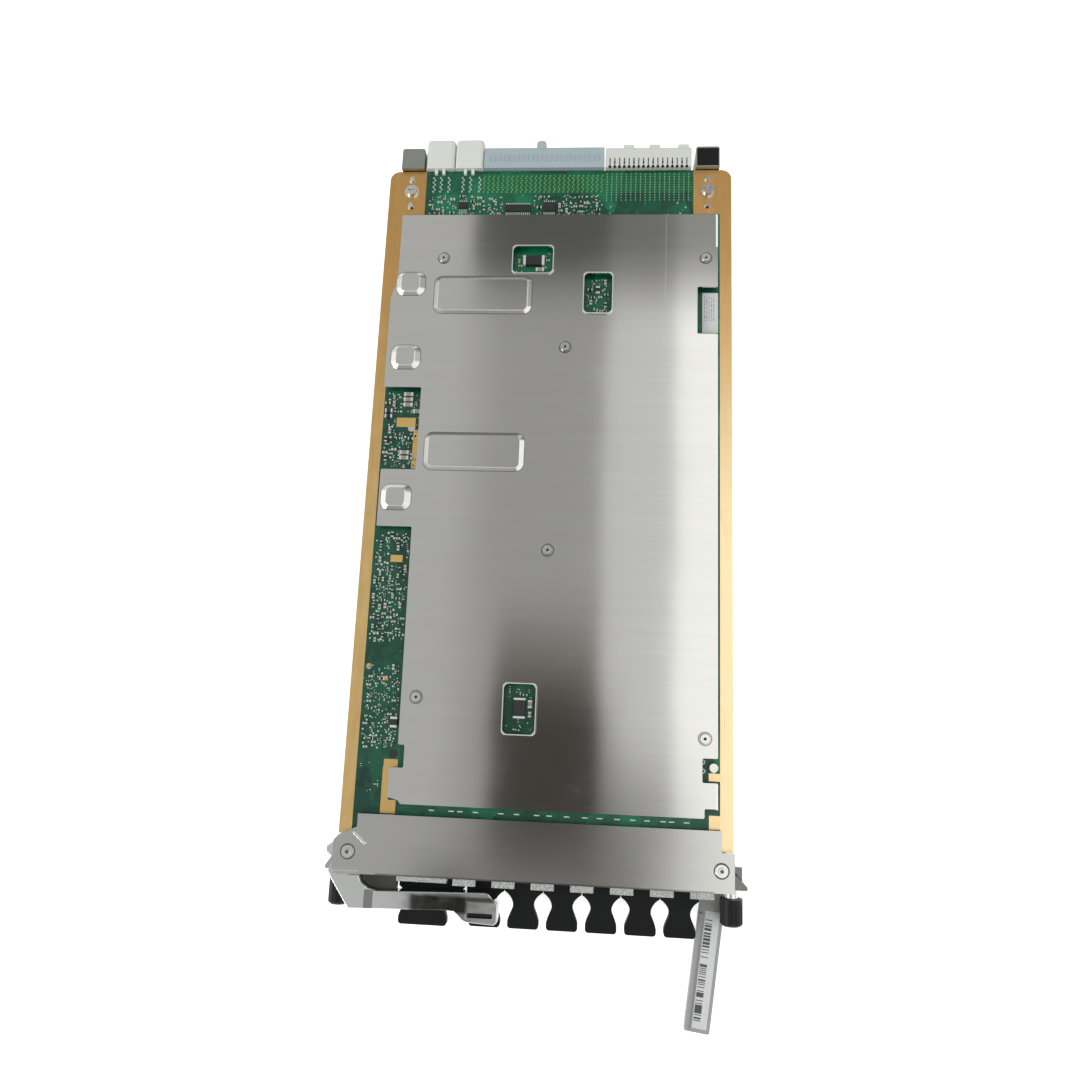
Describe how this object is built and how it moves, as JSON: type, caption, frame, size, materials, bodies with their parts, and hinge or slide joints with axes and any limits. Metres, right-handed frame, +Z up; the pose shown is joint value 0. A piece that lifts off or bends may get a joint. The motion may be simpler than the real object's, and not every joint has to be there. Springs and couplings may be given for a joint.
{
  "type": "baseband processing unit",
  "caption": "Plug-in baseband board: shielded printed board, front panel with plugged optical ports, ejector levers and captive screws, backplane connectors behind.",
  "frame": {"origin": "under the middle of the whole unit, on the plane that its heat sinks and panel rest on", "axes": "+X along the front panel to the right, +Y from the panel to the backplane connectors, +Z up through the shield cover"},
  "size_m": [0.1556, 0.351, 0.0223],
  "materials": {
    "board": "green solder mask with gold plated edges",
    "panel_steel": "brushed",
    "cover_steel": "brushed",
    "plated_metal": "bright plated",
    "polished_metal": "polished",
    "painted_lever": "grey, satin",
    "black_plastic": "black, moulded",
    "black_rubber": "black, matte",
    "cage_steel": "plated",
    "clear_plastic": "clear, slightly frosted",
    "cast_metal": "die-cast, plated",
    "white_plastic": "off-white, moulded",
    "pale_blue_plastic": "pale blue grey, moulded",
    "ivory_plastic": "ivory, moulded",
    "sink_aluminium": "extruded, clear anodised",
    "package_plastic": "black epoxy"
  },
  "bodies": {
    "board_unit": {"printed_board": "board", "front_panel": "panel_steel", "shield_cover": "cover_steel", "cover_standoffs": "plated_metal", "cover_screws": "plated_metal", "left_lever_pin": "plated_metal", "right_flange_pin": "plated_metal", "flange_spacer": "plated_metal", "right_lever_pin": "plated_metal", "left_screw_collar": "plated_metal", "right_screw_collar": "plated_metal", "small_port_cage": "cage_steel", "wide_port_cage": "cage_steel", "small_port_sockets": "black_plastic", "wide_port_socket": "black_plastic", "wide_port_plug": "black_rubber", "light_pipes": "clear_plastic", "wide_light_bar": "clear_plastic", "guide_module_left": "cast_metal", "guide_module_right": "cast_metal", "guide_fasteners": "plated_metal", "power_connector_1": "white_plastic", "power_connector_2": "white_plastic", "signal_connector": "pale_blue_plastic", "wafer_connector": "ivory_plastic", "rear_heat_sink": "sink_aluminium", "front_heat_sink": "sink_aluminium", "heat_sink_screws": "plated_metal", "processors": "package_plastic", "memory_packages": "package_plastic", "power_modules": "package_plastic", "inductors": "package_plastic", "capacitors": "sink_aluminium", "small_port_plug_1": "black_rubber", "small_port_plug_2": "black_rubber", "small_port_plug_3": "black_rubber", "small_port_plug_4": "black_rubber", "small_port_plug_5": "black_rubber", "small_port_plug_6": "black_rubber"},
    "left_lever": {"left_ejector_lever": "polished_metal"},
    "right_lever": {"right_ejector_lever": "painted_lever"},
    "left_screw_travel": {"left_screw_ring": "plated_metal"},
    "left_screw": {"left_captive_screw": "black_plastic"},
    "right_screw_travel": {"right_screw_ring": "plated_metal"},
    "right_screw": {"right_captive_screw": "black_plastic"}
  },
  "joints": [
    {"name": "left_lever_hinge", "type": "hinge", "parent": "board_unit", "child": "left_lever", "pos_m": [-0.0676, -0.1158, 0.014], "axis": [0, 0, 1], "range_deg": [-80, 0]},
    {"name": "right_lever_hinge", "type": "hinge", "parent": "board_unit", "child": "right_lever", "pos_m": [0.0664, -0.1294, 0.0029], "axis": [0, 0, 1], "range_deg": [-82, 0]},
    {"name": "left_screw_slide", "type": "slide", "parent": "board_unit", "child": "left_screw_travel", "axis": [0, 1, 0], "range_m": [0, 0.0024]},
    {"name": "left_screw_turn", "type": "hinge", "parent": "left_screw_travel", "child": "left_screw", "pos_m": [-0.0726, -0.1234, 0.0083], "axis": [0, 1, 0], "continuous": true},
    {"name": "right_screw_slide", "type": "slide", "parent": "board_unit", "child": "right_screw_travel", "axis": [0, 1, 0], "range_m": [0, 0.0024]},
    {"name": "right_screw_turn", "type": "hinge", "parent": "right_screw_travel", "child": "right_screw", "pos_m": [0.0726, -0.1234, 0.0083], "axis": [0, 1, 0], "continuous": true}
  ]
}
